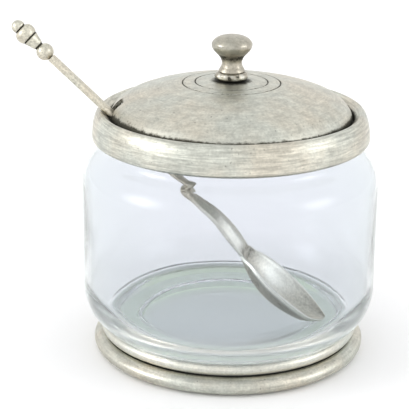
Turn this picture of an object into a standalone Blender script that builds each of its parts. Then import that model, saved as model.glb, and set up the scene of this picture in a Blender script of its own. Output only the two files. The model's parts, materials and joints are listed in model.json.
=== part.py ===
"""Glass sugar jar with pewter foot, collar, lid and spoon.

Axis of the jar is +Z through the world origin, the foot stands on z = 0 and the front is -Y.
Every length below is in millimetres and is turned into metres when a mesh is made.
"""
import math

import bmesh
import bpy
from mathutils import Matrix, Vector

MM = 0.001
FIT_GAP = 0.3            # clearance left between touching pieces

# foot
FOOT_RADIUS = 46.7       # widest part of the lower moulding
FOOT_HEIGHT = 6.2        # height of the lower moulding
FOOT_FLOOR = 3.0         # top of the pewter floor under the glass
FOOT_RECESS = 41.0       # radius of the tray that takes the glass
BEZEL_RADIUS = 44.4      # widest part of the upper moulding
BEZEL_TOP = 10.5
BEZEL_BORE = 41.2

# jar
JAR_RADIUS = 50.0        # outside of the straight wall
JAR_WALL = 2.7
JAR_BOTTOM = 5.4         # underside of the glass, in the foot
JAR_PUNT = 31.0          # radius of the hollow under the glass
JAR_PUNT_DEPTH = 1.6
JAR_FLOOR = 12.0         # inside floor
HEEL_HEIGHT = 23.4       # where the heel meets the wall
SHOULDER_HEIGHT = 60.1   # where the wall starts to turn in
NECK_RADIUS = 42.6
NECK_BORE = 39.9
NECK_START = 71.2
JAR_LIP = 79.2

# collar
COLLAR_RADIUS = 46.5
COLLAR_BOTTOM = 73.9
COLLAR_TOP = 84.4
COLLAR_BORE = 44.2
COLLAR_SEAT = 80.6       # ledge that carries the lid
COLLAR_THROAT = 39.8
COLLAR_RECESS = 40.9     # recess round the lid edge

# lid
LID_RADIUS = 40.4
LID_EDGE = 83.0
LID_TOP = 94.1
LID_THICKNESS = 1.4
GROOVE_RADII = (12.1, 16.3)
GROOVE_DEPTH = 0.35
GROOVE_HALF_WIDTH = 0.4
LID_RING_OUTER = 38.6
LID_RING_INNER = 36.8
LID_RING_BOTTOM = 76.5
NOTCH_WIDTH = 7.0
NOTCH_REACH = 36.2       # radius the spoon notch reaches in to
NOTCH_TURN = 7.0         # notch, degrees from -X towards the front

# knob
KNOB_RADIUS = 6.77
KNOB_NECK = 3.38
KNOB_TOP = 109.3
WASHER_RADIUS = 5.55
WASHER_TOP = 97.0
SCREW_RADIUS = 1.2
SCREW_HEAD = 3.0
SCREW_HOLE = 1.55
SCREW_TIP = 102.0

# spoon, drawn in its own upright plane: x runs inwards, z up
SPOON_POINT = (-41.5, -4.5, 84.65)  # middle of the handle where it passes the lid edge
SPOON_TURN = -5.75                 # turn of the spoon's plane about Z, degrees
HANDLE_SLOPE = 42.6                # handle's fall below the horizontal, degrees
HANDLE_UP = 24.2                   # handle length outside the notch
HANDLE_DOWN = 35.3                 # handle length inside, down to the crank
HANDLE_WIDTH = 4.6
HANDLE_THICK = 2.0
BALL_RADIUS = 2.85
BOWL_START = (46.6, -47.6)         # neck of the bowl, from the spoon point
BOWL_LENGTH = 37.2
BOWL_SLOPE = 40.1
BOWL_WIDTH = 24.0
BOWL_WIDEST = 0.45                 # share of the length where the bowl is widest
BOWL_DEPTH = 6.2
BOWL_WALL = 1.0

RING_SEGMENTS = 40
SMALL_SEGMENTS = 24


def clear_scene():
    for obj in list(bpy.data.objects):
        bpy.data.objects.remove(obj, do_unlink=True)


def material(name, colour, metallic, roughness, transmission=0.0):
    mat = bpy.data.materials.new(name)
    mat.use_nodes = True
    shader = mat.node_tree.nodes["Principled BSDF"]
    shader.inputs["Base Color"].default_value = (*colour, 1.0)
    shader.inputs["Metallic"].default_value = metallic
    shader.inputs["Roughness"].default_value = roughness
    shader.inputs["Transmission Weight"].default_value = transmission
    return mat


def add_object(name, bm, mat, location=(0.0, 0.0, 0.0), turn=0.0):
    """Turn a bmesh drawn in millimetres into a named object with its own material."""
    bmesh.ops.recalc_face_normals(bm, faces=bm.faces)
    bmesh.ops.scale(bm, vec=(MM, MM, MM), verts=bm.verts)
    mesh = bpy.data.meshes.new(name)
    bm.to_mesh(mesh)
    bm.free()
    mesh.materials.append(mat)
    obj = bpy.data.objects.new(name, mesh)
    obj.location = [value * MM for value in location]
    obj.rotation_euler = (0.0, 0.0, math.radians(turn))
    bpy.context.scene.collection.objects.link(obj)
    mesh.shade_smooth()
    mesh.set_sharp_from_angle(angle=math.radians(35.0))
    return obj


def arc(centre_r, centre_z, semi_r, semi_z, start, end, count):
    """Points on an ellipse arc in the (radius, height) half plane, angles in degrees."""
    points = []
    for k in range(count):
        angle = math.radians(start + (end - start) * k / (count - 1))
        points.append((centre_r + semi_r * math.cos(angle), centre_z + semi_z * math.sin(angle)))
    return points


def turned_bmesh(profile, segments):
    """Revolve a closed (radius, height) outline round Z; points on the axis become poles."""
    bm = bmesh.new()
    rings = []
    for radius, height in profile:
        if radius < 1e-6:
            rings.append([bm.verts.new((0.0, 0.0, height))])
        else:
            rings.append([
                bm.verts.new((radius * math.cos(2 * math.pi * k / segments),
                              radius * math.sin(2 * math.pi * k / segments), height))
                for k in range(segments)
            ])
    for first, second in zip(rings, rings[1:] + rings[:1]):
        if len(first) == 1 and len(second) == 1:
            continue
        for k in range(segments):
            after = (k + 1) % segments
            if len(first) == 1:
                bm.faces.new((first[0], second[k], second[after]))
            elif len(second) == 1:
                bm.faces.new((first[k], second[0], first[after]))
            else:
                bm.faces.new((first[k], second[k], second[after], first[after]))
    return bm


def turned(name, profile, mat, segments=RING_SEGMENTS):
    return add_object(name, turned_bmesh(profile, segments), mat)


def cut_notch(obj):
    """Saw the spoon notch out of a turned piece, on the -X side."""
    bm = bmesh.new()
    bmesh.ops.create_cube(bm, size=1.0)
    length = LID_RADIUS + 10.0 - NOTCH_REACH
    bmesh.ops.scale(bm, vec=(length, NOTCH_WIDTH, 40.0), verts=bm.verts)
    bmesh.ops.translate(bm, vec=(-NOTCH_REACH - length / 2, 0.0, LID_EDGE), verts=bm.verts)
    cutter = add_object(obj.name + "_notch_cutter", bm, obj.data.materials[0], turn=NOTCH_TURN)
    cutter.hide_render = True
    cutter.display_type = "WIRE"
    cut = obj.modifiers.new("spoon notch", "BOOLEAN")
    cut.object = cutter
    cut.operation = "DIFFERENCE"
    cut.solver = "EXACT"


def build_foot(pewter):
    middle = FOOT_HEIGHT / 2
    lower = arc(FOOT_RADIUS - 4.5, middle, 4.5, middle, -90.0, 90.0, 9)
    floor_edge = [
        (FOOT_RECESS, FOOT_HEIGHT), (FOOT_RECESS, FOOT_FLOOR + 0.8),
        (FOOT_RECESS - 0.8, FOOT_FLOOR), (0.0, FOOT_FLOOR),
    ]
    turned("foot_base", lower + floor_edge + [(0.0, 0.0)], pewter)

    bottom = FOOT_HEIGHT + FIT_GAP
    half = (BEZEL_TOP - bottom) / 2
    outer = arc(BEZEL_RADIUS - half, bottom + half, half, half, -90.0, 68.0, 7)
    cradle = [(BEZEL_BORE + 1.2, BEZEL_TOP - 0.65), (BEZEL_BORE + 0.3, BEZEL_TOP - 1.2),
              (BEZEL_BORE, BEZEL_TOP - 1.6), (BEZEL_BORE, bottom)]
    turned("foot_bezel", outer + cradle, pewter)


def build_cement(cement):
    top = JAR_BOTTOM - FIT_GAP
    bottom = FOOT_FLOOR + FIT_GAP
    turned("base_cement", [(JAR_PUNT + 1.5, bottom), (38.6, bottom), (38.6, top),
                           (JAR_PUNT + 1.5, top)], cement)


def jar_outline():
    """Outer outline from the underside up to the lip, then the inside back down to the floor."""
    heel = arc(JAR_RADIUS - 9.9, HEEL_HEIGHT, 9.9, 13.5, -80.0, 0.0, 9)
    shoulder = arc(JAR_RADIUS - 11.3, SHOULDER_HEIGHT, 11.3, 11.0, 0.0, 52.0, 7)
    outside = [
        (0.0, JAR_BOTTOM + JAR_PUNT_DEPTH), (JAR_PUNT - 1.0, JAR_BOTTOM + JAR_PUNT_DEPTH),
        (JAR_PUNT + 0.4, JAR_BOTTOM), (38.2, JAR_BOTTOM), (39.6, JAR_BOTTOM + 0.7),
        (40.2, JAR_BOTTOM + 2.2), (40.6, JAR_BOTTOM + 4.3),
    ] + heel + shoulder + [
        (44.0, NECK_START - 1.6), (43.0, NECK_START - 0.4), (NECK_RADIUS, NECK_START + 1.2),
        (NECK_RADIUS, JAR_LIP - 0.8), (NECK_RADIUS - 0.8, JAR_LIP),
    ]
    inner = JAR_RADIUS - JAR_WALL
    inner_shoulder = arc(inner - 9.6, SHOULDER_HEIGHT - 0.4, 9.6, 9.3, 52.0, 0.0, 6)
    inner_heel = arc(inner - 11.0, HEEL_HEIGHT + 1.4, 11.0, HEEL_HEIGHT + 1.4 - JAR_FLOOR,
                     0.0, -90.0, 9)
    inside = [
        (NECK_BORE + 0.8, JAR_LIP), (NECK_BORE, JAR_LIP - 0.8), (NECK_BORE, NECK_START + 0.6),
        (40.6, NECK_START - 1.4), (41.9, NECK_START - 2.8),
    ] + inner_shoulder + inner_heel + [(0.0, JAR_FLOOR)]
    return outside + inside


def build_collar(pewter, putty):
    crown = 43.5
    outer = arc(crown, COLLAR_BOTTOM + 1.5, COLLAR_RADIUS - crown, 1.5, -70.0, -15.0, 3)
    outer += arc(crown, COLLAR_BOTTOM + 1.5, COLLAR_RADIUS - crown,
                 COLLAR_TOP - COLLAR_BOTTOM - 1.5, 0.0, 90.0, 9)
    inner = [
        (42.8, 83.85), (42.0, 83.1), (COLLAR_RECESS + 0.3, 82.4), (COLLAR_RECESS, 82.0),
        (COLLAR_RECESS, COLLAR_SEAT), (COLLAR_THROAT, COLLAR_SEAT),
        (COLLAR_THROAT, JAR_LIP + FIT_GAP), (COLLAR_BORE, JAR_LIP + FIT_GAP),
        (COLLAR_BORE, COLLAR_BOTTOM),
    ]
    turned("rim_collar", outer + inner, pewter)
    inside = NECK_RADIUS + FIT_GAP
    outside = COLLAR_BORE - FIT_GAP
    turned("collar_bedding", [(inside, COLLAR_BOTTOM + 0.3), (outside, COLLAR_BOTTOM + 0.3),
                              (outside, JAR_LIP), (inside, JAR_LIP)], putty)


def lid_top(radius):
    """Height of the lid's upper face, from the flat centre down to the steep rim."""
    if radius <= 11.0:
        return LID_TOP - 0.5 * (radius / 11.0) ** 2
    share = (radius - 11.0) / (LID_RADIUS - 11.0)
    return LID_TOP - 0.5 - 7.3 * share ** 1.75 - 3.3 * share ** 14


def build_lid(pewter):
    top = []
    for radius in (38.9, 37.0, 34.5, 31.0, 27.0, 22.5):
        top.append((radius, lid_top(radius)))
    for radius in reversed(GROOVE_RADII):
        top += [(radius + GROOVE_HALF_WIDTH, lid_top(radius + GROOVE_HALF_WIDTH)),
                (radius, lid_top(radius) - GROOVE_DEPTH),
                (radius - GROOVE_HALF_WIDTH, lid_top(radius - GROOVE_HALF_WIDTH))]
    top += [(7.0, lid_top(7.0)), (SCREW_HOLE, lid_top(SCREW_HOLE))]
    under = [(radius, lid_top(radius) - LID_THICKNESS) for radius in
             (SCREW_HOLE, 8.0, 16.0, 22.5, 28.0, 33.0, 36.0)]
    seat = COLLAR_SEAT + FIT_GAP
    edge = [(37.4, 83.4), (38.0, seat), (LID_RADIUS, seat), (LID_RADIUS, LID_EDGE - 0.5),
            (40.0, LID_EDGE + 0.5)]
    lid = turned("lid_dome", edge + top + under, pewter)
    cut_notch(lid)

    ring_top = seat - FIT_GAP
    ring = turned("lid_ring", [(LID_RING_INNER, LID_RING_BOTTOM + 0.5),
                               (LID_RING_INNER + 0.5, LID_RING_BOTTOM),
                               (LID_RING_OUTER - 0.5, LID_RING_BOTTOM),
                               (LID_RING_OUTER, LID_RING_BOTTOM + 0.5),
                               (LID_RING_OUTER, ring_top), (LID_RING_INNER, ring_top)], pewter)
    cut_notch(ring)


def build_knob(pewter, steel):
    washer_bottom = lid_top(WASHER_RADIUS - 0.6) + FIT_GAP
    centre = (washer_bottom + WASHER_TOP) / 2
    half = (WASHER_TOP - washer_bottom) / 2
    bead = arc(WASHER_RADIUS - half, centre, half, half, -90.0, 90.0, 7)
    # the middle of the lid is the highest, so the bead's face is dished to follow it
    turned("knob_bead", bead + [(SCREW_HOLE, WASHER_TOP), (SCREW_HOLE, LID_TOP + FIT_GAP)],
           pewter, SMALL_SEGMENTS)

    base = WASHER_TOP + FIT_GAP
    outline = [
        (0.0, KNOB_TOP), (2.4, KNOB_TOP - 0.15), (4.5, KNOB_TOP - 0.75), (6.0, KNOB_TOP - 1.7),
        (KNOB_RADIUS, KNOB_TOP - 2.9), (6.6, KNOB_TOP - 4.0), (5.9, KNOB_TOP - 5.2),
        (4.8, KNOB_TOP - 6.4), (3.9, KNOB_TOP - 7.4), (KNOB_NECK, KNOB_TOP - 8.8),
        (3.6, KNOB_TOP - 10.0), (4.2, KNOB_TOP - 10.9), (4.9, base + 0.3), (4.9, base),
        (SCREW_HOLE, base), (SCREW_HOLE, SCREW_TIP + 0.5), (0.0, SCREW_TIP + 0.9),
    ]
    turned("knob", outline, pewter, SMALL_SEGMENTS)

    head_top = LID_TOP - LID_THICKNESS - FIT_GAP - 0.1
    turned("knob_screw", [
        (0.0, head_top - 1.7), (1.6, head_top - 1.6), (2.6, head_top - 1.1),
        (SCREW_HEAD, head_top - 0.5), (SCREW_HEAD, head_top), (SCREW_RADIUS, head_top),
        (SCREW_RADIUS, SCREW_TIP - 0.5), (0.0, SCREW_TIP),
    ], steel, 20)


def handle_point(distance):
    """A point on the handle's middle line in the spoon's plane; distance runs downwards."""
    slope = math.radians(HANDLE_SLOPE)
    return (distance * math.cos(slope), -distance * math.sin(slope))


def spoon_sections():
    """Stations down the handle and stem: (x, z, fall in degrees, half width, upper, lower).

    The upper and lower shapes give each face's height above the middle line at the
    middle, at the bevel and at the edge.
    """
    half = HANDLE_WIDTH / 2
    thick = HANDLE_THICK / 2
    bar = ((thick, thick * 0.95, thick * 0.35), (-thick, -thick * 0.95, -thick * 0.35))
    stations = []
    for distance in (-HANDLE_UP, -HANDLE_UP / 2, 0.0, HANDLE_DOWN / 2, HANDLE_DOWN):
        stations.append((*handle_point(distance), HANDLE_SLOPE, half, *bar))
    # crank that stops the spoon: out to the right, sharply back, then on down
    end_x, end_z = handle_point(HANDLE_DOWN)
    for step_x, step_z, fall, swell in ((1.9, -1.1, 72.0, 1.9), (0.6, -2.5, 84.0, 2.2),
                                        (1.1, -3.6, 64.0, 1.5), (3.1, -5.1, 42.0, 1.1)):
        shape = tuple(tuple(value * swell for value in side) for side in bar)
        stations.append((end_x + step_x, end_z + step_z, fall, half, *shape))
    # arched stem, ridged along the top and widening towards the bowl
    for x, z, fall, width, ridge in ((31.4, -31.0, 38.0, 4.6, 1.2), (35.8, -34.6, 43.0, 5.0, 1.4),
                                     (39.4, -38.4, 50.0, 5.6, 1.5), (43.0, -43.0, 50.0, 6.2, 1.5)):
        shape = ((ridge, ridge * 0.7, 0.2), (-1.2, -1.0, -0.4))
        stations.append((x, z, fall, width / 2, *shape))
    return stations


def bowl_half_width(share):
    """Half width of the bowl at a share of its length: egg shaped, round at the tip."""
    if share < BOWL_WIDEST:
        return BOWL_WIDTH / 2 * (1.0 - 0.75 * ((BOWL_WIDEST - share) / BOWL_WIDEST) ** 2.2)
    past = (share - BOWL_WIDEST) / (1.0 - BOWL_WIDEST)
    return max(1.2, BOWL_WIDTH / 2 * math.sqrt(1.0 - past ** 2.3))


def bowl_sections():
    """Stations of the bowl along its rim plane, from the neck to the tip."""
    slope = math.radians(BOWL_SLOPE)
    stations = []
    for share in (0.0, 0.06, 0.14, 0.25, 0.37, 0.49, 0.61, 0.73, 0.83, 0.91, 0.97, 1.0):
        depth = BOWL_DEPTH * math.sin(math.pi * share ** 0.9) ** 0.8 if share < 1.0 else 0.0
        x = BOWL_START[0] + BOWL_LENGTH * share * math.cos(slope)
        z = BOWL_START[1] - BOWL_LENGTH * share * math.sin(slope)
        upper = (-depth, -depth * 0.72, 0.25)
        lower = (-depth - BOWL_WALL, -depth * 0.72 - BOWL_WALL, -BOWL_WALL + 0.25)
        stations.append((x, z, BOWL_SLOPE, bowl_half_width(share), upper, lower))
    return stations


ACROSS = (-1.0, -0.86, -0.52, 0.0, 0.52, 0.86, 1.0)


def face_height(shape, share):
    """Blend from the middle of a face out to its edge."""
    middle, bevel, edge = shape
    share = abs(share)
    if share <= 0.52:
        return middle + (bevel - middle) * (share / 0.52) ** 2
    return bevel + (edge - bevel) * ((share - 0.52) / 0.48) ** 1.3


def build_spoon(pewter):
    stations = spoon_sections() + bowl_sections()
    bm = bmesh.new()
    rings = []
    for x, z, fall, half, upper, lower in stations:
        angle = math.radians(fall)
        normal = Vector((math.sin(angle), 0.0, math.cos(angle)))
        middle = Vector((x, 0.0, z))
        ring = []
        for share in ACROSS:
            point = middle + normal * face_height(upper, share)
            ring.append(bm.verts.new(point + Vector((0.0, half * share, 0.0))))
        for share in reversed(ACROSS):
            point = middle + normal * face_height(lower, share)
            ring.append(bm.verts.new(point + Vector((0.0, half * share, 0.0))))
        rings.append(ring)
    count = len(rings[0])
    for first, second in zip(rings, rings[1:]):
        for k in range(count):
            after = (k + 1) % count
            bm.faces.new((first[k], second[k], second[after], first[after]))
    bm.faces.new(rings[0])
    bm.faces.new(reversed(rings[-1]))
    add_object("spoon", bm, pewter, SPOON_POINT, SPOON_TURN)


def build_finial(pewter):
    """Turned end of the handle: ball, waisted cone, cap and button."""
    ball = arc(0.0, BALL_RADIUS + 0.1, BALL_RADIUS, BALL_RADIUS, -75.0, 58.0, 7)
    outline = [(0.0, 0.15)] + ball + [
        (1.42, 5.6), (1.8, 6.05), (2.1, 7.2), (2.75, 9.2), (2.58, 9.55), (2.95, 9.85), (3.42, 11.2),
        (3.35, 12.3), (2.95, 13.1), (2.1, 13.75), (1.9, 13.95), (2.12, 14.2), (2.2, 14.8),
        (1.95, 15.8), (1.2, 16.7), (0.0, 17.1),
    ]
    bm = turned_bmesh(outline, 20)
    tilt = Matrix.Rotation(math.radians(HANDLE_SLOPE - 90.0), 4, "Y")
    end = handle_point(-HANDLE_UP - FIT_GAP)
    bm.transform(Matrix.Translation(Vector((end[0], 0.0, end[1]))) @ tilt)
    add_object("spoon_finial", bm, pewter, SPOON_POINT, SPOON_TURN)


def main():
    clear_scene()
    pewter = material("pewter", (0.56, 0.55, 0.51), 1.0, 0.34)
    spoon_pewter = material("spoon_pewter", (0.60, 0.58, 0.53), 1.0, 0.30)
    glass = material("clear_glass", (0.93, 0.96, 0.97), 0.0, 0.02, 1.0)
    steel = material("screw_steel", (0.50, 0.50, 0.50), 1.0, 0.35)
    cement = material("jar_cement", (0.72, 0.71, 0.67), 0.0, 0.8)
    putty = material("collar_putty", (0.45, 0.44, 0.41), 0.0, 0.7)
    build_foot(pewter)
    build_cement(cement)
    turned("glass_jar", jar_outline(), glass)
    build_collar(pewter, putty)
    build_lid(pewter)
    build_knob(pewter, steel)
    build_spoon(spoon_pewter)
    build_finial(spoon_pewter)


main()
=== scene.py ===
import json
import math

import bmesh
import bpy
from mathutils import Matrix, Vector, noise


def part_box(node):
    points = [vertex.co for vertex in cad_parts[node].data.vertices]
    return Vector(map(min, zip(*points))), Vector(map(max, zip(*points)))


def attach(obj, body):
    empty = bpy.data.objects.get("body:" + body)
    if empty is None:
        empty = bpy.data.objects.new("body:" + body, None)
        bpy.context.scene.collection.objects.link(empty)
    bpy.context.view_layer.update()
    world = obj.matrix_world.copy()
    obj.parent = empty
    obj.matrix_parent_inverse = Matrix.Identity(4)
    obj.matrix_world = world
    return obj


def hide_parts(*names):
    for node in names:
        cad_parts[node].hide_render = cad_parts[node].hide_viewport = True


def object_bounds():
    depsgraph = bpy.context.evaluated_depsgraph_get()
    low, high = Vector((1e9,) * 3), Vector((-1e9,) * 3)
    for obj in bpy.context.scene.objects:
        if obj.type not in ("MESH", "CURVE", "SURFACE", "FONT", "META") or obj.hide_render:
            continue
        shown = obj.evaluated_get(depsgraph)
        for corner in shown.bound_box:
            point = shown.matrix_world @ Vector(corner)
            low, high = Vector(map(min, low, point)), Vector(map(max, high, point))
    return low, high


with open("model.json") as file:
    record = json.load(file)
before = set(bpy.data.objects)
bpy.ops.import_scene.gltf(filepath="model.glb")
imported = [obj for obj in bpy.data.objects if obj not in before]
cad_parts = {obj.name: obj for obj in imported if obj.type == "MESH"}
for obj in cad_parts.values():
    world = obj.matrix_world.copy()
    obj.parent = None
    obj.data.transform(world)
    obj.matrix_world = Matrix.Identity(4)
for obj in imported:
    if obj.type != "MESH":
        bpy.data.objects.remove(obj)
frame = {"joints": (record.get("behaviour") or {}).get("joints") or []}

cad_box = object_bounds()
MM = 0.001


def box_mm(node):
    """Lowest and highest corner of a CAD node in millimetres."""
    low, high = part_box(node)
    return low / MM, high / MM


# ---------------------------------------------------------------- shared helpers

def node_material(name):
    mat = bpy.data.materials.new(name)
    mat.use_nodes = True
    tree = mat.node_tree
    tree.nodes.clear()
    out = tree.nodes.new("ShaderNodeOutputMaterial")
    shader = tree.nodes.new("ShaderNodeBsdfPrincipled")
    tree.links.new(shader.outputs[0], out.inputs["Surface"])
    return mat, tree, shader


def link_mesh(name, bm, mats):
    bmesh.ops.recalc_face_normals(bm, faces=bm.faces)
    mesh = bpy.data.meshes.new(name)
    bm.to_mesh(mesh)
    bm.free()
    for mat in mats:
        mesh.materials.append(mat)
    obj = bpy.data.objects.new(name, mesh)
    bpy.context.scene.collection.objects.link(obj)
    return obj


def math_node(tree, operation, first, second=None):
    node = tree.nodes.new("ShaderNodeMath")
    node.operation = operation
    for socket, value in zip(node.inputs, (first, second)):
        if value is None:
            continue
        if isinstance(value, (int, float)):
            socket.default_value = value
        else:
            tree.links.new(value, socket)
    return node.outputs[0]


def noise_node(tree, vector, scale, detail, roughness=0.5, w=None):
    node = tree.nodes.new("ShaderNodeTexNoise")
    if w is not None:
        node.noise_dimensions = "4D"
        tree.links.new(w, node.inputs["W"])
    node.inputs["Scale"].default_value = scale
    node.inputs["Detail"].default_value = detail
    node.inputs["Roughness"].default_value = roughness
    tree.links.new(vector, node.inputs["Vector"])
    return node.outputs["Fac"]


def ramp_node(tree, value, stops):
    node = tree.nodes.new("ShaderNodeValToRGB")
    ramp = node.color_ramp
    while len(ramp.elements) > 1:
        ramp.elements.remove(ramp.elements[-1])
    ramp.elements[0].position = stops[0][0]
    ramp.elements[0].color = (*stops[0][1], 1.0)
    for place, colour in stops[1:]:
        ramp.elements.new(place).color = (*colour, 1.0)
    tree.links.new(value, node.inputs["Fac"])
    return node.outputs["Color"]


def mix_colour(tree, share, first, second, blend="MIX"):
    node = tree.nodes.new("ShaderNodeMix")
    node.data_type = "RGBA"
    node.blend_type = blend
    for socket, value in ((node.inputs[0], share), (node.inputs[6], first), (node.inputs[7], second)):
        if isinstance(value, (int, float)):
            socket.default_value = value
        elif isinstance(value, tuple):
            socket.default_value = (*value, 1.0)
        else:
            tree.links.new(value, socket)
    return node.outputs[2]


# ---------------------------------------------------------------- camera, floor and light

CAMERA_TURN = 1.33       # degrees round from straight in front
CAMERA_RISE = 18.76      # degrees above the horizon
CAMERA_ROLL = 0.5
CAMERA_DISTANCE = 0.5006
CAMERA_LENS = 128.95
CAMERA_SHIFT = (0.0026, 0.0, -0.0065)   # aim point from the middle of the object's box


def add_camera():
    """A camera at the photo's angle, aimed from the object's box."""
    low, high = cad_box
    middle = Vector(((low.x + high.x) / 2, 0.0, (low.z + high.z) / 2))
    aim = middle + Vector(CAMERA_SHIFT)
    turn, rise = math.radians(CAMERA_TURN), math.radians(CAMERA_RISE)
    back = Vector((math.sin(turn) * math.cos(rise), -math.cos(turn) * math.cos(rise), math.sin(rise)))
    data = bpy.data.cameras.new("camera")
    data.lens, data.sensor_width = CAMERA_LENS, 36.0
    camera = bpy.data.objects.new("camera", data)
    facing = (-back).to_track_quat("-Z", "Y").to_matrix().to_4x4()
    camera.matrix_world = (Matrix.Translation(aim + back * CAMERA_DISTANCE) @ facing
                           @ Matrix.Rotation(math.radians(CAMERA_ROLL), 4, "Z"))
    bpy.context.scene.collection.objects.link(camera)
    bpy.context.scene.camera = camera


FLOOR_HALF, FLOOR_GAP = 6.0, 0.0002


def add_floor():
    mat, tree, shader = node_material("floor_paper")
    coords = tree.nodes.new("ShaderNodeTexCoord")
    grain = tree.nodes.new("ShaderNodeTexNoise")
    grain.inputs["Scale"].default_value = 18.0
    grain.inputs["Detail"].default_value = 4.0
    ramp = tree.nodes.new("ShaderNodeValToRGB")
    ramp.color_ramp.elements[0].color = (0.93, 0.93, 0.935, 1.0)
    ramp.color_ramp.elements[1].color = (0.955, 0.955, 0.955, 1.0)
    tree.links.new(coords.outputs["Object"], grain.inputs["Vector"])
    tree.links.new(grain.outputs["Fac"], ramp.inputs["Fac"])
    tree.links.new(ramp.outputs["Color"], shader.inputs["Base Color"])
    shader.inputs["Roughness"].default_value = 0.9
    bm = bmesh.new()
    bmesh.ops.create_grid(bm, x_segments=1, y_segments=1, size=FLOOR_HALF)
    floor = link_mesh("floor", bm, [mat])
    floor.location.z = cad_box[0].z - FLOOR_GAP


GLASS_BOUNCES, METAL_BOUNCES = 32, 24
TENT_GLOW = 1.12         # strength of the even light from all round
SOFT_LIGHTS = (          # direction, how tight, strength: light tents have no hard edges
    ((-0.89, -0.28, 0.36), 44.0, 7.0),
    ((0.90, -0.26, 0.36), 40.0, 3.6),
    ((-0.30, -0.90, 0.42), 30.0, 0.4),
)


def add_light():
    """A white light tent: one even glow, brighter patches to the left and right, a faint one in front."""
    world = bpy.data.worlds.new("studio")
    world.use_nodes = True
    tree = world.node_tree
    tree.nodes.clear()
    out = tree.nodes.new("ShaderNodeOutputWorld")
    back = tree.nodes.new("ShaderNodeBackground")
    coords = tree.nodes.new("ShaderNodeTexCoord")
    total = TENT_GLOW
    for direction, tightness, strength in SOFT_LIGHTS:
        toward = tree.nodes.new("ShaderNodeVectorMath")
        toward.operation = "DOT_PRODUCT"
        tree.links.new(coords.outputs["Generated"], toward.inputs[0])
        toward.inputs[1].default_value = Vector(direction).normalized()
        lobe = math_node(tree, "POWER", math_node(tree, "MAXIMUM", toward.outputs["Value"], 0.0), tightness)
        total = math_node(tree, "ADD", math_node(tree, "MULTIPLY", lobe, strength), total)
    tree.links.new(total, back.inputs["Strength"])
    back.inputs["Color"].default_value = (1.0, 1.0, 1.0, 1.0)
    tree.links.new(back.outputs[0], out.inputs["Surface"])
    bpy.context.scene.world = world
    bpy.context.scene.view_settings.view_transform = "Standard"
    paths = bpy.context.scene.cycles      # light has to get through many glass walls in a row
    paths.max_bounces = paths.transmission_bounces = GLASS_BOUNCES
    paths.glossy_bounces = METAL_BOUNCES


# ---------------------------------------------------------------- materials

def grain_turned(tree, position):
    """Coordinates that stretch a noise round the Z axis, as a lathe leaves its marks."""
    split = tree.nodes.new("ShaderNodeSeparateXYZ")
    tree.links.new(position, split.inputs[0])
    x, y, z = split.outputs
    radius = math_node(tree, "SQRT", math_node(tree, "ADD", math_node(tree, "MULTIPLY", x, x),
                                               math_node(tree, "MULTIPLY", y, y)))
    safe = math_node(tree, "MAXIMUM", radius, 0.0005)
    join = tree.nodes.new("ShaderNodeCombineXYZ")
    for flat, socket in ((x, join.inputs[0]), (y, join.inputs[1])):
        unit = math_node(tree, "DIVIDE", flat, safe)
        tree.links.new(math_node(tree, "MULTIPLY", unit, MARK_LENGTH), socket)
    tree.links.new(z, join.inputs[2])
    return join.outputs[0], radius


MARK_LENGTH = 0.0032     # the smaller, the longer the lathe marks run round a turned piece
# The dark colour below serves both oxide in hollows and painted shade.
PATINA_AND_SHADE_TONE = (0.050, 0.048, 0.036)
RUBBED_AND_PAINTED_LIGHT = (0.93, 0.95, 0.90)                  # the colour of pewter worn bright, also used as painted light on shaded parts and spoon highlights
PEWTER = (0.555, 0.547, 0.488)
MARK_SCALE, SPECKLE_SCALE, CLOUD_SCALE, PATCH_SCALE, PIT_SCALE = 1500.0, 1250.0, 330.0, 62.0, 900.0
CAST_SCALE = 1300.0                          # grain of a piece that wasn't turned
DARK_COVER_START, DARK_COVER_EDGE, DARK_COVER_MOST = 0.66, 4.0, 0.95


def grey_ramp(tree, value, low, dark, high, light):
    return ramp_node(tree, value, ((low, (dark,) * 3), (high, (light,) * 3)))


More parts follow.
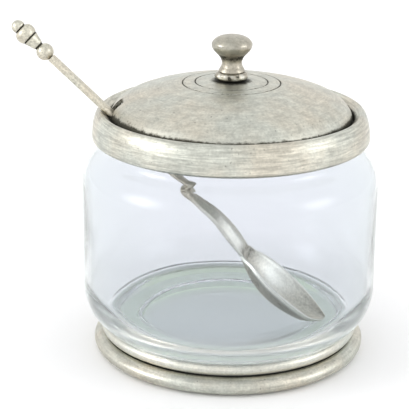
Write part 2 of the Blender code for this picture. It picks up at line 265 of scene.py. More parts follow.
def pewter(name, colour, roughness=0.42, brushed=0.5, mottle=1.0, relief=0.10, turned=True, seed=0.0,
           lit=0.0):
    """Old satin pewter: finely mottled tone, lathe marks, pits, dark patina and rubbed bright spots.

    One mesh attribute darkens it with oxide in hollows and painted shade, another brightens it
    with rubbed spots and painted light. lit is the strength of a painted glow where it is brightened.
    """
    mat, tree, shader = node_material(name)
    coords = tree.nodes.new("ShaderNodeTexCoord")
    shift = tree.nodes.new("ShaderNodeMapping")
    shift.inputs["Location"].default_value = (seed, seed * 0.7, seed * 0.3)
    tree.links.new(coords.outputs["Object"], shift.inputs["Vector"])
    place = shift.outputs["Vector"]
    if turned:
        vector, radius = grain_turned(tree, coords.outputs["Object"])
        marks = noise_node(tree, vector, MARK_SCALE, 4.0, 0.7, w=radius)
    else:
        marks = noise_node(tree, place, CAST_SCALE, 3.0, 0.65)
    speckle = noise_node(tree, place, SPECKLE_SCALE, 3.0, 0.6)
    clouds = noise_node(tree, place, CLOUD_SCALE, 4.0, 0.6)
    patches = noise_node(tree, place, PATCH_SCALE, 3.0, 0.5)
    pits = noise_node(tree, place, PIT_SCALE, 1.0, 0.4)
    cloud_tone = grey_ramp(tree, clouds, 0.34, 1.0 - 0.10 * mottle, 0.66, 1.0 + 0.07 * mottle)
    tone = mix_colour(tree, 1.0, colour, cloud_tone, "MULTIPLY")
    tint = ramp_node(tree, patches, ((0.36, (1.04, 0.997, 0.95)), (0.64, (0.972, 1.005, 1.01))))
    tone = mix_colour(tree, 1.0, tone, tint, "MULTIPLY")
    tone = mix_colour(tree, mottle, tone, grey_ramp(tree, speckle, 0.34, 0.88, 0.66, 1.10), "MULTIPLY")
    tone = mix_colour(tree, brushed, tone, grey_ramp(tree, marks, 0.36, 0.66, 0.64, 1.28), "MULTIPLY")
    tone = mix_colour(tree, 0.6, tone, grey_ramp(tree, pits, 0.22, 0.40, 0.29, 1.0), "MULTIPLY")
    # Brighten towards rubbed pewter. This is real rubbing on the knob's solder and a little on the foot ring.
    # Elsewhere it is painted light: the spoon's painted highlights, and surfaces in shade under the glass and
    # inside the lid painted bright. lit adds a painted glow.
    wear_haze_painted_light = tree.nodes.new("ShaderNodeAttribute")
    wear_haze_painted_light.attribute_name = "wear_haze_painted_light"
    tone = mix_colour(tree, wear_haze_painted_light.outputs["Fac"], tone, RUBBED_AND_PAINTED_LIGHT)
    if lit:
        shader.inputs["Emission Color"].default_value = (0.98, 1.0, 1.0, 1.0)
        glow = math_node(tree, "MULTIPLY", wear_haze_painted_light.outputs["Fac"], lit)
        tree.links.new(glow, shader.inputs["Emission Strength"])
    # Darken towards the dark colour. In hollows and grooves this is oxide. It is painted shade at the seam
    # between lid and collar and under and inside the spoon's bowl, plus a painted dark reflection of the knob
    # on the lid.
    darkening = tree.nodes.new("ShaderNodeAttribute")
    darkening.attribute_name = "patina_and_shade"
    uneven = math_node(tree, "ADD", math_node(tree, "MULTIPLY", clouds, 0.55),
                       math_node(tree, "MULTIPLY", speckle, 0.45))
    uneven = math_node(tree, "ADD", uneven, math_node(tree, "MULTIPLY", darkening.outputs["Fac"], 0.62))
    cover = math_node(tree, "MULTIPLY", math_node(tree, "SUBTRACT", uneven, DARK_COVER_START), DARK_COVER_EDGE)
    cover = math_node(tree, "MAXIMUM", math_node(tree, "MINIMUM", cover, DARK_COVER_MOST), 0.0)
    tone = mix_colour(tree, cover, tone, PATINA_AND_SHADE_TONE)
    tree.links.new(tone, shader.inputs["Base Color"])
    shader.inputs["Metallic"].default_value = 1.0
    rough = math_node(tree, "ADD", math_node(tree, "MULTIPLY", speckle, 0.16), roughness - 0.08)
    tree.links.new(math_node(tree, "ADD", rough, math_node(tree, "MULTIPLY", cover, 0.25)),
                   shader.inputs["Roughness"])
    height = math_node(tree, "ADD", math_node(tree, "MULTIPLY", marks, brushed),
                       math_node(tree, "ADD", math_node(tree, "MULTIPLY", speckle, 0.7),
                                 math_node(tree, "MULTIPLY", clouds, 1.4)))
    height = math_node(tree, "ADD", height,
                       math_node(tree, "MINIMUM", math_node(tree, "MULTIPLY", pits, 2.0), 0.6))
    bump = tree.nodes.new("ShaderNodeBump")
    bump.inputs["Strength"].default_value = relief
    bump.inputs["Distance"].default_value = 0.0006
    tree.links.new(height, bump.inputs["Height"])
    tree.links.new(bump.outputs["Normal"], shader.inputs["Normal"])
    return mat


GLASS_TINTS = ((0.0, (0.835, 0.85, 0.885)), (0.55, (0.83, 0.86, 0.875)), (0.85, (0.78, 0.84, 0.83)),
               (1.0, (0.66, 0.75, 0.72)))    # from seen square on to seen edge on
GLASS_IOR = 1.33         # low for glass, so that the spoon is seen as little bent as in the photo
PAINTED_GLASS_GLOW = 0.35        # painted glow: emission where the mesh attribute marks the glass as thick, lightening its dark heel
MOST_MILKY = 0.8


def clear_glass():
    """Clear glass with a faint cool body, greener where the wall is seen edge on, with a painted greenish
    glow in its thick heel.
    """
    mat, tree, shader = node_material("jar_glass")
    facing = tree.nodes.new("ShaderNodeLayerWeight")
    facing.inputs["Blend"].default_value = 0.35
    tint = ramp_node(tree, facing.outputs["Facing"], GLASS_TINTS)
    tree.links.new(tint, shader.inputs["Base Color"])
    shader.inputs["IOR"].default_value = GLASS_IOR
    shader.inputs["Roughness"].default_value = 0.0
    coords = tree.nodes.new("ShaderNodeTexCoord")
    haze_and_glow = tree.nodes.new("ShaderNodeAttribute")
    haze_and_glow.attribute_name = "wear_haze_painted_light"
    cloudy = noise_node(tree, coords.outputs["Object"], 90.0, 3.0, 0.5)
    # Painted glow: the thick heel emits a greenish light.
    shader.inputs["Emission Color"].default_value = (0.93, 1.0, 0.94, 1.0)
    glow = math_node(tree, "MULTIPLY", haze_and_glow.outputs["Fac"], PAINTED_GLASS_GLOW)
    tree.links.new(glow, shader.inputs["Emission Strength"])
    turned_away = math_node(tree, "SUBTRACT", facing.outputs["Facing"], 0.62)
    rim = math_node(tree, "MULTIPLY", math_node(tree, "MAXIMUM", turned_away, 0.0), 1.5)
    hazed = math_node(tree, "MULTIPLY", haze_and_glow.outputs["Fac"], math_node(tree, "ADD", cloudy, 0.5))
    milky = math_node(tree, "MINIMUM", math_node(tree, "ADD", hazed, rim), MOST_MILKY)
    tree.links.new(math_node(tree, "SUBTRACT", 1.0, milky), shader.inputs["Transmission Weight"])
    waves = noise_node(tree, coords.outputs["Object"], 42.0, 1.5, 0.4)
    bump = tree.nodes.new("ShaderNodeBump")
    bump.inputs["Strength"].default_value = 0.10
    bump.inputs["Distance"].default_value = 0.0010
    tree.links.new(waves, bump.inputs["Height"])
    tree.links.new(bump.outputs["Normal"], shader.inputs["Normal"])
    return mat


def plain_rough(name, colour, roughness, scale, lit=0.0):
    """Cement or putty: dull, finely grained; lit is the strength of a painted greenish glow, where glass over
    it casts shade.
    """
    mat, tree, shader = node_material(name)
    coords = tree.nodes.new("ShaderNodeTexCoord")
    grain = noise_node(tree, coords.outputs["Object"], scale, 5.0, 0.6)
    dark = tuple(c * 0.86 for c in colour)
    tree.links.new(ramp_node(tree, grain, ((0.35, dark), (0.65, colour))), shader.inputs["Base Color"])
    shader.inputs["Roughness"].default_value = roughness
    shader.inputs["Emission Color"].default_value = (0.84, 1.0, 0.82, 1.0)
    shader.inputs["Emission Strength"].default_value = lit
    bump = tree.nodes.new("ShaderNodeBump")
    bump.inputs["Strength"].default_value = 0.2
    bump.inputs["Distance"].default_value = 0.0003
    tree.links.new(grain, bump.inputs["Height"])
    tree.links.new(bump.outputs["Normal"], shader.inputs["Normal"])
    return mat


# ---------------------------------------------------------------- shapes

def spline(points, steps):
    """A smooth line through points of any number of values, at even steps between each pair."""
    result = []
    last = len(points) - 1
    for k in range(last):
        before = points[max(k - 1, 0)]
        first, second = points[k], points[k + 1]
        after = points[min(k + 2, last)]
        for step in range(steps):
            t = step / steps
            result.append(tuple(
                0.5 * ((2 * b) + (c - a) * t + (2 * a - 5 * b + 4 * c - d) * t * t
                       + (3 * b - a - 3 * c + d) * t ** 3)
                for a, b, c, d in zip(before, first, second, after)))
    result.append(tuple(points[last]))
    return result


def arc(centre_r, centre_z, semi_r, semi_z, start, end, count, patina_and_shade=0.0):
    """Outline points on an ellipse, from one angle in degrees to another."""
    points = []
    for k in range(count):
        angle = math.radians(start + (end - start) * k / (count - 1))
        points.append((centre_r + semi_r * math.cos(angle), centre_z + semi_z * math.sin(angle), patina_and_shade))
    return points


SHARP_METAL = 32.0       # degrees between faces above which an edge stays sharp


def lathe(name, profile, mat, segments=192, uneven=0.0, wave=14.0, seed=0.0, sharp=SHARP_METAL,
          darken_and_brighten=None):
    """Revolve a closed outline of (radius, height, patina) in millimetres round Z.

    The last argument gives a point's own darkening and brightening from its position and its darkening in the
    outline: oxide, rubbed spots and cloudiness, and painted shade, light and glow.
    weather gives a point's own patina and wear from its position and its patina in the outline.
    """
    bm = bmesh.new()
    patina_and_shade_layer = bm.verts.layers.float.new("patina_and_shade")
    wear_haze_painted_light_layer = bm.verts.layers.float.new("wear_haze_painted_light")
    rings = []
    for radius, height, patina_and_shade in profile:
        ring = []
        for k in range(1 if radius < 1e-6 else segments):
            angle = 2 * math.pi * k / segments
            point = Vector((radius * math.cos(angle), radius * math.sin(angle), height))
            if uneven and radius > 0.5:
                drift = noise.noise(point / wave + Vector((seed, seed, seed)))
                fine = noise.noise(point / (wave * 0.3) + Vector((seed + 5.0, seed, 3.0)))
                point += Vector((math.cos(angle), math.sin(angle), 0.6)) * uneven * (drift + 0.35 * fine)
            vert = bm.verts.new(point * MM)
            vert[patina_and_shade_layer], vert[wear_haze_painted_light_layer] = darken_and_brighten(point, patina_and_shade) if darken_and_brighten else (patina_and_shade, 0.0)
            ring.append(vert)
        rings.append(ring)
    for first, second in zip(rings, rings[1:] + rings[:1]):
        if len(first) == 1 and len(second) == 1:
            continue
        for k in range(segments):
            after = (k + 1) % segments
            if len(first) == 1:
                bm.faces.new((first[0], second[k], second[after]))
            elif len(second) == 1:
                bm.faces.new((first[k], second[0], first[after]))
            else:
                bm.faces.new((first[k], second[k], second[after], first[after]))
    obj = link_mesh(name, bm, [mat])
    obj.data.shade_smooth()
    obj.data.set_sharp_from_angle(angle=math.radians(sharp))
    return obj


def cut_notch(obj, width, reach, turn):
    """Saw the spoon's notch into the edge of a lid piece and darken the cut faces."""
    bm = bmesh.new()
    bmesh.ops.create_cube(bm, size=1.0)
    length, tall, middle = 0.02, 0.04, 0.083
    bmesh.ops.scale(bm, vec=(length, width * MM, tall), verts=bm.verts)
    bmesh.ops.translate(bm, vec=(-reach * MM - length / 2, 0.0, middle), verts=bm.verts)
    turned = Matrix.Rotation(math.radians(turn), 3, "Z")
    bmesh.ops.rotate(bm, cent=(0, 0, 0), matrix=turned, verts=bm.verts)
    bmesh.ops.bevel(bm, geom=bm.edges[:], offset=0.0009, segments=4, affect="EDGES", profile=0.5)
    cutter = link_mesh("cutter", bm, [])
    cut = obj.modifiers.new("notch", "BOOLEAN")
    cut.object, cut.operation, cut.solver = cutter, "DIFFERENCE", "EXACT"
    settled = bpy.data.meshes.new_from_object(obj.evaluated_get(bpy.context.evaluated_depsgraph_get()))
    obj.modifiers.clear()
    obj.data = settled
    bpy.data.objects.remove(cutter)
    across = Vector((math.sin(math.radians(turn)), -math.cos(math.radians(turn)), 0.0))
    outward = Vector((-math.cos(math.radians(turn)), -math.sin(math.radians(turn)), 0.0))
    for vert, darkening in zip(settled.vertices, settled.attributes["patina_and_shade"].data):
        aside, out = abs(vert.co.dot(across)) / MM, vert.co.dot(outward) / MM
        if aside < width / 2 + 0.1 and out > reach - 0.1:
            darkening.value = 0.5
    settled.shade_smooth()
    settled.set_sharp_from_angle(angle=math.radians(SHARP_METAL))


def held(value):
    """The value kept between 0 and 1."""
    return max(0.0, min(1.0, value))


def place(obj, body, *nodes):
    """A piece that rides on a body and stands for its CAD node."""
    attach(obj, body)
    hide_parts(*nodes)
    return obj


def build_foot():
    low, high = box_mm("foot_base")
    radius, height = high.x, high.z
    half = height / 2
    floor, recess = 3.0, 41.0
    bulge = 4.5
    outline = arc(radius - bulge, half, bulge, half, -90.0, -60.0, 6, 0.25)
    outline += arc(radius - bulge, half, bulge, half, -55.0, 74.0, 28)
    outline += arc(radius - bulge, half, bulge, half, 78.0, 90.0, 5, 1.0)
    outline += [(recess, height, 0.3), (recess, floor + 0.8, 0.0), (recess - 0.3, floor + 0.25, 0),
                (recess - 0.8, floor, 0), (20.0, floor, 0.0), (0.0, floor, 0.0), (0.0, 0.0, 0.3),
                (38.0, 0.0, 0.3)]

    def darken_and_brighten(point, patina_and_shade):
        """The tray under the glass is painted bright, with a painted glow, to lift the shade there."""
        inside = math.hypot(point.x, point.y) < recess + 1.6 and point.z > floor - 1.0
        return patina_and_shade, 0.95 if inside else 0.0

    # lit=0.09 gives the foot's metal a painted glow where it is painted bright under the glass.
    metal = pewter("foot_pewter", PEWTER, 0.40, brushed=0.4, seed=0.31, lit=0.09)
    place(lathe("foot", outline, metal, uneven=0.10, seed=2.0, darken_and_brighten=darken_and_brighten), "jar", "foot_base")

    low, high = box_mm("foot_bezel")
    half = (high.z - low.z) / 2
    radius = high.x
    tall = half + 0.05
    outline = arc(radius - half, low.z + tall, half, tall, -90.0, -70.0, 4, 1.0)
    outline += arc(radius - half, low.z + tall, half, tall, -64.0, 85.0, 20)
    outline += [(41.6, high.z - 0.45, 0), (41.3, high.z - 1.0, 0), (41.2, high.z - 1.4, 0), (41.2, low.z, 0)]

    def bright_under_glass(point, patina_and_shade):
        """Painted bright where the glass covers the ring, to lift the shade there; rubbed a little everywhere
        else.
        """
        covered = math.hypot(point.x, point.y) < 43.3 and point.z > low.z + 1.2
        return patina_and_shade, 0.9 if covered else 0.18

    ring = lathe("foot_ring", outline, metal, uneven=0.06, seed=4.0, darken_and_brighten=bright_under_glass)
    place(ring, "jar", "foot_bezel")

    low, high = box_mm("base_cement")
    bore = 32.5
    outline = [(bore, low.z, 0), (high.x, low.z, 0), (high.x, high.z, 0), (bore, high.z, 0)]
    # The cement glows with a painted greenish light, to lift it in the glass's shade.
    cement = plain_rough("cement", (0.93, 0.97, 0.90), 0.85, 300.0, lit=0.30)
    place(lathe("cement_ring", outline, cement, segments=96), "jar", "base_cement")


WALL, THIN_WALL, THINS_ABOVE = 1.8, 0.8, 34.0


def wall_at(height):
    """Thickness of the blown wall: it thins up the side and over the shoulder."""
    if height < THINS_ABOVE:
        return WALL
    return max(THIN_WALL, WALL - (height - THINS_ABOVE) / 24.0)


def offset(line):
    """The line moved inwards by the wall's thickness."""
    moved = []
    for k, point in enumerate(line):
        before, after = line[max(k - 1, 0)], line[min(k + 1, len(line) - 1)]
        along = Vector((after[0] - before[0], after[1] - before[1])).normalized()
        thickness = wall_at(point[1])
        moved.append((point[0] - along.y * thickness, point[1] + along.x * thickness, 0))
    return moved


def build_jar():
    low, high = box_mm("glass_jar")
    radius, bottom, lip = high.x, low.z, high.z
    heel_z, shoulder_z, floor, punt = 23.4, 60.1, 12.0, 1.6
    heel, shoulder, inner_heel = 9.9, 11.3, 12.6
    inner_heel_z = heel_z + 3.2
    outside = [(0.0, bottom + punt, 0), (29.0, bottom + punt, 0)]
    outside += spline([(29.0, bottom + punt, 0), (30.6, bottom + 1.2, 0), (31.4, bottom + 0.2, 0),
                       (32.4, bottom, 0)], 4)
    outside += spline([(37.6, bottom, 0), (39.2, bottom + 0.5, 0), (40.1, bottom + 2.0, 0),
                       (40.6, bottom + 4.7, 0), (41.7, bottom + 5.45, 0), (43.1, bottom + 5.6, 0)], 4)
    outside += arc(radius - heel, heel_z, heel, 13.5, -66.0, 0.0, 24)
    upper = arc(radius - shoulder, shoulder_z, shoulder, 11.0, 0.0, 48.0, 20)
    upper += spline([(45.45, 69.0, 0), (44.1, 70.05, 0), (43.2, 71.1, 0), (42.7, 72.4, 0), (42.6, 74.0, 0)],
                    5)
    rim = [(42.6, lip - 0.8, 0), (42.35, lip - 0.25, 0), (41.8, lip, 0), (40.7, lip, 0),
           (40.15, lip - 0.25, 0), (39.9, lip - 0.8, 0)]
    inside = [(40.4, 76.4, 0)] + offset([(radius, THINS_ABOVE, 0), (radius, 46.0, 0)] + upper)[::-1]
    inside += arc(radius - WALL - inner_heel, inner_heel_z, inner_heel, inner_heel_z - floor, 0.0, -90.0, 34)
    inside += [(25.0, floor, 0), (12.0, floor, 0), (0.0, floor, 0)]

    def haze_and_glow_at(point, _):
        """Pressed glass is cloudier in the thick ring where the wall turns into the base; the same value
        drives a painted glow there.
        """
        everywhere = 0.012
        reach = math.hypot(point.x, point.y)
        if point.z > heel_z:
            return 0.0, everywhere
        ring = held((reach - 29.0) / 3.0) * held((22.0 - point.z) / 8.0)
        side = held((reach - 42.0) / 3.0) * held((heel_z - point.z) / 4.0)
        return 0.0, everywhere + 0.05 * ring + 0.05 * side

    jar = lathe("jar", outside + upper + rim + inside, clear_glass(), uneven=0.05, wave=26.0, seed=7.0,
                sharp=60.0, darken_and_brighten=haze_and_glow_at)
    place(jar, "jar", "glass_jar")


def build_collar():
    low, high = box_mm("rim_collar")
    bottom, top, radius = low.z, high.z, high.x
    crown, turn_in = 43.5, 1.5
    rise = top - bottom - turn_in
    outline = [(44.2, bottom + 0.1, 0.8), (44.6, bottom, 0.8)]
    outline += arc(crown, bottom + turn_in, radius - crown, turn_in, -70.0, -15.0, 6, 0.15)
    outline += arc(crown, bottom + turn_in, radius - crown, rise, 0.0, 62.0, 18)
    outline += arc(crown, bottom + turn_in, radius - crown, rise, 66.0, 90.0, 7)
    # The inner slope down to the lid and the seat below carry painted shade: the dark seam where the lid sits
    # in the collar.
    outline += spline([(42.8, 83.95, 0.0), (42.0, 83.2, 0.1), (41.2, 82.45, 0.6), (40.95, 82.0, 1.0)], 4)
    outline += [(40.9, 80.6, 1.0), (39.8, 80.6, 1.0), (39.8, 79.5, 1.0), (44.2, 79.5, 0.5)]
    metal = pewter("collar_pewter", PEWTER, 0.38, brushed=0.85, mottle=0.8, relief=0.14, seed=0.9)
    collar = lathe("collar", outline, metal, segments=224, uneven=0.10, wave=11.0, seed=9.0)
    place(collar, "jar", "rim_collar")

    low, high = box_mm("collar_bedding")
    bore = 42.9
    outline = [(bore, low.z, 0), (high.x, low.z, 0), (high.x, high.z, 0), (bore, high.z, 0)]
    putty = plain_rough("putty", (0.42, 0.41, 0.38), 0.8, 400.0)
    place(lathe("bedding", outline, putty, segments=96), "jar", "collar_bedding")


CROWN_RADIUS, CROWN_DROP = 11.0, 0.5     # the nearly flat middle of the lid


def lid_height(radius, edge_radius, top):
    """Height of the lid's outside: a flat crown, a dome and a rounded edge."""
    if radius <= CROWN_RADIUS:
        return top - CROWN_DROP * (radius / CROWN_RADIUS) ** 2
    share = (radius - CROWN_RADIUS) / (edge_radius - CROWN_RADIUS)
    return top - CROWN_DROP - 7.3 * share ** 1.75 - 3.3 * share ** 14


NOTCH = (6.2, 36.2, 7.0)      # width, radius reached, degrees from -X towards the front
RING_NOTCH = (7.4, 35.9, 7.0)   # a little wider, so that the spoon passes
LID_EDGE, LID_TOP = 40.4, 94.1
SCREW_HOLE = 1.55


def build_lid():
    low, high = box_mm("lid_dome")
    radius, seat = high.x, low.z

    def shell(reach, patina_and_shade=0.0, deep=0.0):
        return reach, lid_height(reach, radius, LID_TOP) - deep, patina_and_shade

    # The edge and seat of the lid carry painted shade: the dark seam between lid and collar.
    outline = [(37.5, 83.3, 0), (38.0, seat + 0.3, 0.3), (38.3, seat, 0.5), (radius - 0.2, seat, 0.8),
               (radius, seat + 0.3, 0.9), (radius, 82.5, 0.8), (radius - 0.1, 83.0, 0.75)]
    outline += [shell(40.15, 0.55), shell(39.9, 0.28), shell(39.5, 0.05), shell(39.0)]
    outline += [shell(38.0 - 1.4 * k) for k in range(14)]
    outer_groove, inner_groove = 16.3, 12.1
    for groove in (outer_groove, inner_groove):
        for away, deep, patina_and_shade in ((0.60, 0.0, 0.0), (0.34, 0.0, 0.2), (0.16, 0.22, 0.62), (0.0, 0.32, 0.75),
                                   (-0.16, 0.22, 0.62), (-0.34, 0.0, 0.2), (-0.60, 0.0, 0.0)):
            outline.append(shell(groove + away, patina_and_shade, deep))
        if groove == outer_groove:
            outline.append(shell(14.2))
    outline += [shell(10.0), shell(8.4), shell(7.4, 0.15), shell(6.5, 0.42), shell(5.0, 0.8), shell(3.0, 1.0),
                shell(SCREW_HOLE, 1.0)]
    thickness = 1.4
    outline += [shell(reach, 0.2, thickness) for reach in
                (SCREW_HOLE, 4.0, 8.0, 12.0, 16.0, 20.0, 24.0, 28.0, 31.0, 33.5, 35.5, 36.6)]

    def darken_and_brighten(point, patina_and_shade):
        """Darker where the spoon goes in; painted shade along the front edge for the seam, a painted dark
        reflection of the knob in front of it, and the underside and seat, in shade, painted bright.
        """
        reach = math.hypot(point.x, point.y)
        angle = math.degrees(math.atan2(point.y, point.x)) % 360.0
        # The underside and seat, in shade inside the jar, are painted bright.
        if point.z < 82.6 or point.z < lid_height(min(reach, radius), radius, LID_TOP) - 0.9:
            return patina_and_shade, 0.75
        edge = 39.8
        # by_spoon darkens the lid by the notch. front is painted shade, the dark seam along the front edge.
        # The patch in front of the knob is a painted dark reflection of the knob.
        by_spoon = max(0.0, 1.0 - abs(angle - 205.0) / 32.0) * max(0.0, 1.0 - (edge - reach) / 6.5)
        front = max(0.0, 1.0 - abs(angle - 245.0) / 60.0) * max(0.0, 1.0 - (edge - reach) / 4.0)
        knob_reflection = max(0.0, 1.0 - abs(angle - 272.0) / 48.0) * max(0.0, 1.0 - abs(reach - 10.0) / 6.0)
        return min(1.0, patina_and_shade + 0.29 * by_spoon + 0.22 * front + 0.27 * knob_reflection), 0.0

    metal = pewter("lid_pewter", PEWTER, 0.42, brushed=0.30, mottle=1.4, seed=1.7)
    lid = lathe("lid", outline, metal, segments=256, uneven=0.09, wave=13.0, seed=11.0, darken_and_brighten=darken_and_brighten)
    cut_notch(lid, *NOTCH)
    place(lid, "lid", "lid_dome")

    low, high = box_mm("lid_ring")
    inner = 36.8
    outline = [(inner, low.z + 0.5, 0), (inner + 0.2, low.z + 0.15, 0), (inner + 0.6, low.z, 0),
               (high.x - 0.6, low.z, 0), (high.x - 0.2, low.z + 0.15, 0), (high.x, low.z + 0.5, 0),
               (high.x, high.z, 0.5), (inner, high.z, 0.5)]
    ring = lathe("lid_ring_fine", outline, metal, segments=144)
    cut_notch(ring, *RING_NOTCH)
    place(ring, "lid", "lid_ring")


def build_knob():
    low, high = box_mm("knob_bead")
    bottom = lid_height(4.95, LID_EDGE, LID_TOP) + 0.3
    half = (high.z - bottom) / 2
    centre = bottom + half
    outline = arc(high.x - half, centre, half, half, -90.0, -50.0, 6, 1.0)
    outline += arc(high.x - half, centre, half, half, -42.0, 60.0, 14, 0.15)
    outline += arc(high.x - half, centre, half, half, 68.0, 90.0, 5, 0.2)
    outline += [(SCREW_HOLE, high.z, 1.0), (SCREW_HOLE, low.z, 1.0)]

    def blotched(point, patina_and_shade):
        """Solder left rough round the knob, black in its hollows."""
        patch = noise.noise(point / 1.5 + Vector((3.0, 1.0, 8.0)))
        return min(1.0, patina_and_shade + max(0.0, patch * 1.5 - 0.2)), max(0.0, -patch * 0.8)

    metal = pewter("knob_pewter", (0.43, 0.405, 0.345), 0.33, brushed=0.3, mottle=1.6, seed=2.3)
    bead = lathe("bead", outline, metal, segments=128, uneven=0.30, wave=2.2, seed=13.0, darken_and_brighten=blotched)
    place(bead, "lid", "knob_bead")

    low, high = box_mm("knob")
    top, base, radius = high.z, low.z, high.x
    outline = spline([(0.0, top, 0), (1.6, top - 0.08, 0), (3.2, top - 0.30, 0), (4.7, top - 0.80, 0),
                      (5.9, top - 1.6, 0), (6.6, top - 2.5, 0), (radius, top - 3.2, 0), (6.62, top - 4.1, 0),
                      (6.05, top - 5.1, 0), (5.2, top - 6.0, 0.25), (4.3, top - 6.9, 0.6),
                      (3.7, top - 7.8, 0.5), (3.40, top - 8.8, 0.2), (3.38, top - 9.6, 0.1),
                      (3.6, top - 10.5, 0.2), (4.05, top - 11.2, 0.2), (4.35, base + 0.2, 0.2)], 4)
    hole_top = 102.5
    outline += [(4.42, base - 0.05, 0.2), (4.3, base - 0.28, 0.5), (SCREW_HOLE, base, 1.0),
                (SCREW_HOLE, hole_top, 1.0), (0.0, hole_top + 0.4, 1.0)]
    knob = lathe("knob_fine", outline, metal, segments=160, uneven=0.07, wave=5.0, seed=15.0)
    place(knob, "lid", "knob")

    low, high = box_mm("knob_screw")
    head_top = low.z + 1.7
    head, shank = 3.0, 1.2
    outline = spline([(0.0, low.z, 0), (1.2, low.z + 0.06, 0), (2.2, low.z + 0.4, 0),
                      (2.9, low.z + 1.0, 0)], 4)
    outline += [(head, low.z + 1.2, 0), (head, head_top, 0), (shank, head_top, 0),
                (shank, high.z - 0.5, 0), (0.0, high.z, 0)]
    steel = pewter("screw_steel_worn", (0.45, 0.45, 0.45), 0.3, seed=3.1)
    place(lathe("screw", outline, steel, segments=64), "lid", "knob_screw")


# ---------------------------------------------------------------- spoon

HANDLE_UP, HANDLE_DOWN, HANDLE_HALF = 24.2, 36.6, 2.4
BOWL_START, BOWL_LENGTH, BOWL_SLOPE, BOWL_HALF = (46.6, -47.6), 37.2, 40.1, 12.0
BOWL_DEEP, BOWL_WIDEST, RIM = 6.2, 0.45, 0.88
STEM_START = 28.5
STEM_ROLL = math.radians(24.0)   # the stem turns its near side up
ACROSS = [math.sin(math.pi / 2 * k / 12) for k in range(13)]     # from the middle of a face to its edge


def spoon_axis():
    """The handle's direction from the joint: how far the spoon's plane is turned, and its slope."""
    axis = next(Vector(j["axis"]) for j in frame["joints"] if j["name"] == "spoon_draw")
    return math.atan2(-axis.y, -axis.x), math.asin(axis.z)


def bar(swell):
    """Upper and lower face of the handle: nearly flat, with rounded arrises."""
    face = [swell * (1.0 - 0.05 * (s / 0.6) ** 2 if s < 0.6 else 0.95 - 0.62 * ((s - 0.6) / 0.4) ** 2.2)
            for s in ACROSS]
    return face + [-height for height in face]


def ridged(ridge):
    """A stem ridged along its upper side."""
    flat = 0.86                  # how far the slope runs before it rounds over
    shoulder = ridge * 0.57
    upper = [ridge * (1.0 - 0.5 * s) if s < flat
             else shoulder - (shoulder - 0.2) * ((s - flat) / (1.0 - flat)) ** 1.5 for s in ACROSS]
    lower = [-1.2 + 0.85 * s ** 3.0 for s in ACROSS]
    return upper + lower


def hollow(depth):
    """The bowl: a rolled rim round an even hollow."""
    upper, lower = [], []
    for s in ACROSS:
        inner = -depth * (1.0 - (s / RIM) ** 2.1) if s < RIM else 0.0
        lip = 0.25 * min(1.0, max(0.0, (s - RIM + 0.12) / 0.12)) * (1.0 if s < 0.97 else 0.6)
        upper.append(inner + lip)
        lower.append(-depth * (1.0 - s ** 2.1) - 1.0 + 0.25 * s ** 4)
    return upper + lower


def bowl_half(share):
    """Half the bowl's width at a share of its length."""
    if share < BOWL_WIDEST:
        return BOWL_HALF * (1.0 - 0.75 * ((BOWL_WIDEST - share) / BOWL_WIDEST) ** 2.2)
    past = (share - BOWL_WIDEST) / (1.0 - BOWL_WIDEST)
    return max(0.8, BOWL_HALF * math.sqrt(max(0.0, 1.0 - past ** 2.3)))


def spoon_stations(slope):
    """(x, z, fall, half width, patina, heights of the upper face, heights of the lower face)."""
    fall = math.degrees(slope)

    def at(distance):
        return distance * math.cos(slope), -distance * math.sin(slope)

    line = []
    for k in range(13):
        distance = -HANDLE_UP - 0.5 + (HANDLE_DOWN + HANDLE_UP + 0.5) * k / 12
        line.append((*at(distance), fall, HANDLE_HALF, 0.0, *bar(1.0)))
    end_x, end_z = at(HANDLE_DOWN)
    crank = [line[-1]]
    for right, up, angle, swell, patina_and_shade in ((1.7, -0.9, 72.0, 1.8, 0.1), (0.1, -1.9, 86.0, 2.2, 0.3),
                                            (0.3, -2.9, 64.0, 1.5, 0.1), (2.2, -4.3, 42.0, 1.1, 0.0)):
        crank.append((end_x + right, end_z + up, angle, HANDLE_HALF, patina_and_shade, *bar(swell)))
    for first, second in zip(crank, crank[1:]):
        line += [tuple(a + (b - a) * t for a, b in zip(first, second)) for t in (0.12, 0.5, 0.88)]
    stem = [crank[-1]]
    for x, z, angle, width, ridge in ((31.4, -31.0, 38.0, 5.0, 1.35), (35.8, -34.6, 42.0, 5.8, 1.6),
                                      (39.4, -38.5, 48.0, 6.6, 1.75), (43.0, -43.0, 50.0, 7.0, 1.6),
                                      (45.4, -46.0, 46.0, 6.6, 1.1)):
        stem.append((x, z, angle, width / 2, 0.0, *ridged(ridge)))
    line += spline(stem, 6)
    slope_b = math.radians(BOWL_SLOPE)
    neck_end = [0.012, 0.03, 0.055, 0.085, 0.12, 0.16]      # closer sections where the bowl narrows
    tip_end = [0.84, 0.88, 0.91, 0.94, 0.96, 0.975, 0.988, 0.996]
    for share in neck_end + [0.05 * k for k in range(4, 17)] + tip_end:
        depth = BOWL_DEEP * math.sin(math.pi * share ** 0.9) ** 0.8
        x = BOWL_START[0] + BOWL_LENGTH * share * math.cos(slope_b)
        z = BOWL_START[1] - BOWL_LENGTH * share * math.sin(slope_b)
        line.append((x, z, BOWL_SLOPE, bowl_half(share), 0.0, *hollow(depth)))
    return line


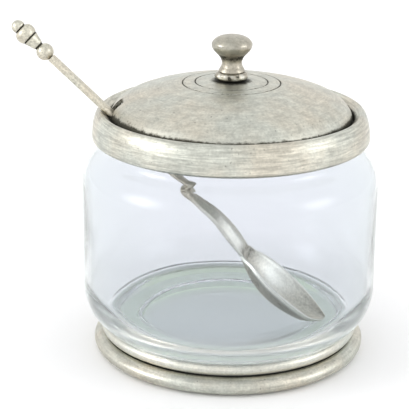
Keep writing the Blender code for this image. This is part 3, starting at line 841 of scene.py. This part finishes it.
def build_spoon():
    """The spoon, with painted highlights on its stem, rim and bowl and painted shade under and in its bowl.
    Returns its move into place, and its metal.
    """
    turn, slope = spoon_axis()
    bm = bmesh.new()
    patina_and_shade_layer = bm.verts.layers.float.new("patina_and_shade")
    wear_haze_painted_light_layer = bm.verts.layers.float.new("wear_haze_painted_light")
    count = len(ACROSS)
    order = list(range(count - 1, 0, -1)) + list(range(count))
    rings = []
    for x, z, fall, half, patina_and_shade, *heights in spoon_stations(slope):
        angle = math.radians(fall)
        stem_share = held(min((x - STEM_START) / 4.0, (BOWL_START[0] + 3.0 - x) / 4.0))
        along_line = Vector((math.cos(angle), 0.0, -math.sin(angle)))
        roll = Matrix.Rotation(STEM_ROLL * stem_share, 3, along_line)
        normal = Vector((math.sin(angle), 0.0, math.cos(angle)))
        middle = Vector((x, 0.0, z))
        ring = []
        for face, sign in ((heights[:count], 1.0), (heights[count:], -1.0)):
            for place_on, k in enumerate(order):
                side = sign * (-1.0 if place_on < count - 1 else 1.0)      # -1 is the near side
                aside = side * ACROSS[k]
                across = Vector((0.0, half * aside, 0.0))
                vert = bm.verts.new((middle + roll @ (normal * face[k] + across)) * MM)
                shade, painted_highlight = patina_and_shade, 0.0
                # The bowl has painted shade on the underside and a painted dark reflection inside the near
                # side. It has painted highlights on the rim, on the underside beside it and inside the far
                # side, and is darker at the neck.
                if x > BOWL_START[0]:
                    if sign < 0 and (ACROSS[k] < 0.93 or aside > 0):
                        shade = 0.24
                    elif sign < 0:
                        painted_highlight = 0.5
                    elif ACROSS[k] >= RIM:
                        painted_highlight = 0.65
                    else:
                        along = (x - BOWL_START[0]) / (BOWL_LENGTH * math.cos(angle))
                        lit = max(0.0, 1.0 - abs(along - 0.42) / 0.34)
                        painted_highlight = 0.55 * lit * held((aside - 0.15) / 0.3)
                        shade = 0.40 * held(min((0.05 - aside) / 0.25, (1.05 - along) / 0.2))
                        shade = max(shade, 0.36 * held((0.20 - along) / 0.1))
                # The stem: painted highlight on its near side and ridge.
                elif stem_share > 0:
                    painted_highlight = (0.42 if side < 0 or k < 2 else 0.08) * stem_share
                vert[patina_and_shade_layer], vert[wear_haze_painted_light_layer] = shade, painted_highlight
                ring.append(vert)
        rings.append(ring)
    around = len(rings[0])
    for first, second in zip(rings, rings[1:]):
        for k in range(around):
            after = (k + 1) % around
            bm.faces.new((first[k], second[k], second[after], first[after]))
    bm.faces.new(rings[0])
    bm.faces.new(list(reversed(rings[-1])))
    bmesh.ops.rotate(bm, cent=(0, 0, 0), matrix=Matrix.Rotation(turn, 3, "Z"), verts=bm.verts)
    low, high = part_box("spoon")
    own_high = Vector([max(v.co[i] for v in bm.verts) for i in range(3)])
    own_low = Vector([min(v.co[i] for v in bm.verts) for i in range(3)])
    shift_y = (low.y + high.y - own_low.y - own_high.y) / 2
    shift = Vector((high.x - own_high.x, shift_y, low.z - own_low.z))
    bmesh.ops.translate(bm, vec=shift, verts=bm.verts)
    metal = pewter("spoon_pewter_painted_highlights", (0.60, 0.58, 0.50), 0.42, brushed=0.6, mottle=0.9, turned=False,
                   seed=4.2)
    spoon = link_mesh("spoon_fine", bm, [metal])
    spoon.data.shade_smooth()
    spoon.data.set_sharp_from_angle(angle=math.radians(36.0))
    place(spoon, "spoon", "spoon")
    return shift, metal


def build_finial(point, metal):
    """The turned end of the handle: a ball, a waisted cone, a cap and a button."""
    turn, slope = spoon_axis()
    outline = [(0.0, 0.15, 0)]
    outline += arc(0.0, 2.95, 2.85, 2.85, -75.0, 55.0, 18)
    outline += [(1.5, 5.4, 0.6), (1.42, 5.65, 1.0), (1.55, 5.9, 0.9)]
    outline += spline([(1.8, 6.05, 0.2), (2.0, 6.8, 0), (2.25, 7.8, 0), (2.6, 8.9, 0), (2.75, 9.2, 0.3)], 3)
    outline += [(2.62, 9.4, 1.0), (2.58, 9.55, 1.0), (2.72, 9.7, 0.8)]
    outline += spline([(2.95, 9.85, 0.2), (3.25, 10.5, 0), (3.42, 11.4, 0), (3.35, 12.3, 0), (2.95, 13.1, 0),
                       (2.4, 13.6, 0.2)], 4)
    outline += [(2.1, 13.75, 1.0), (1.9, 13.9, 1.0), (1.95, 14.05, 1.0)]
    outline += spline([(2.12, 14.2, 0.3), (2.2, 14.8, 0), (2.05, 15.6, 0), (1.6, 16.4, 0), (0.9, 16.9, 0),
                       (0.0, 17.1, 0)], 4)
    finial = lathe("finial", outline, metal, segments=72, uneven=0.05, wave=3.0, seed=17.0)
    tilt = Matrix.Rotation(slope - math.pi / 2, 4, "Y")
    distance = -(HANDLE_UP + 0.3) * MM
    end = Vector((distance * math.cos(slope), 0.0, -distance * math.sin(slope)))
    finial.data.transform(Matrix.Translation(point) @ Matrix.Rotation(turn, 4, "Z")
                          @ Matrix.Translation(end) @ tilt)
    place(finial, "spoon", "spoon_finial")


add_camera()
add_floor()
add_light()
build_foot()
build_jar()
build_collar()
build_lid()
build_knob()
spoon_point, spoon_metal = build_spoon()
build_finial(spoon_point, spoon_metal)
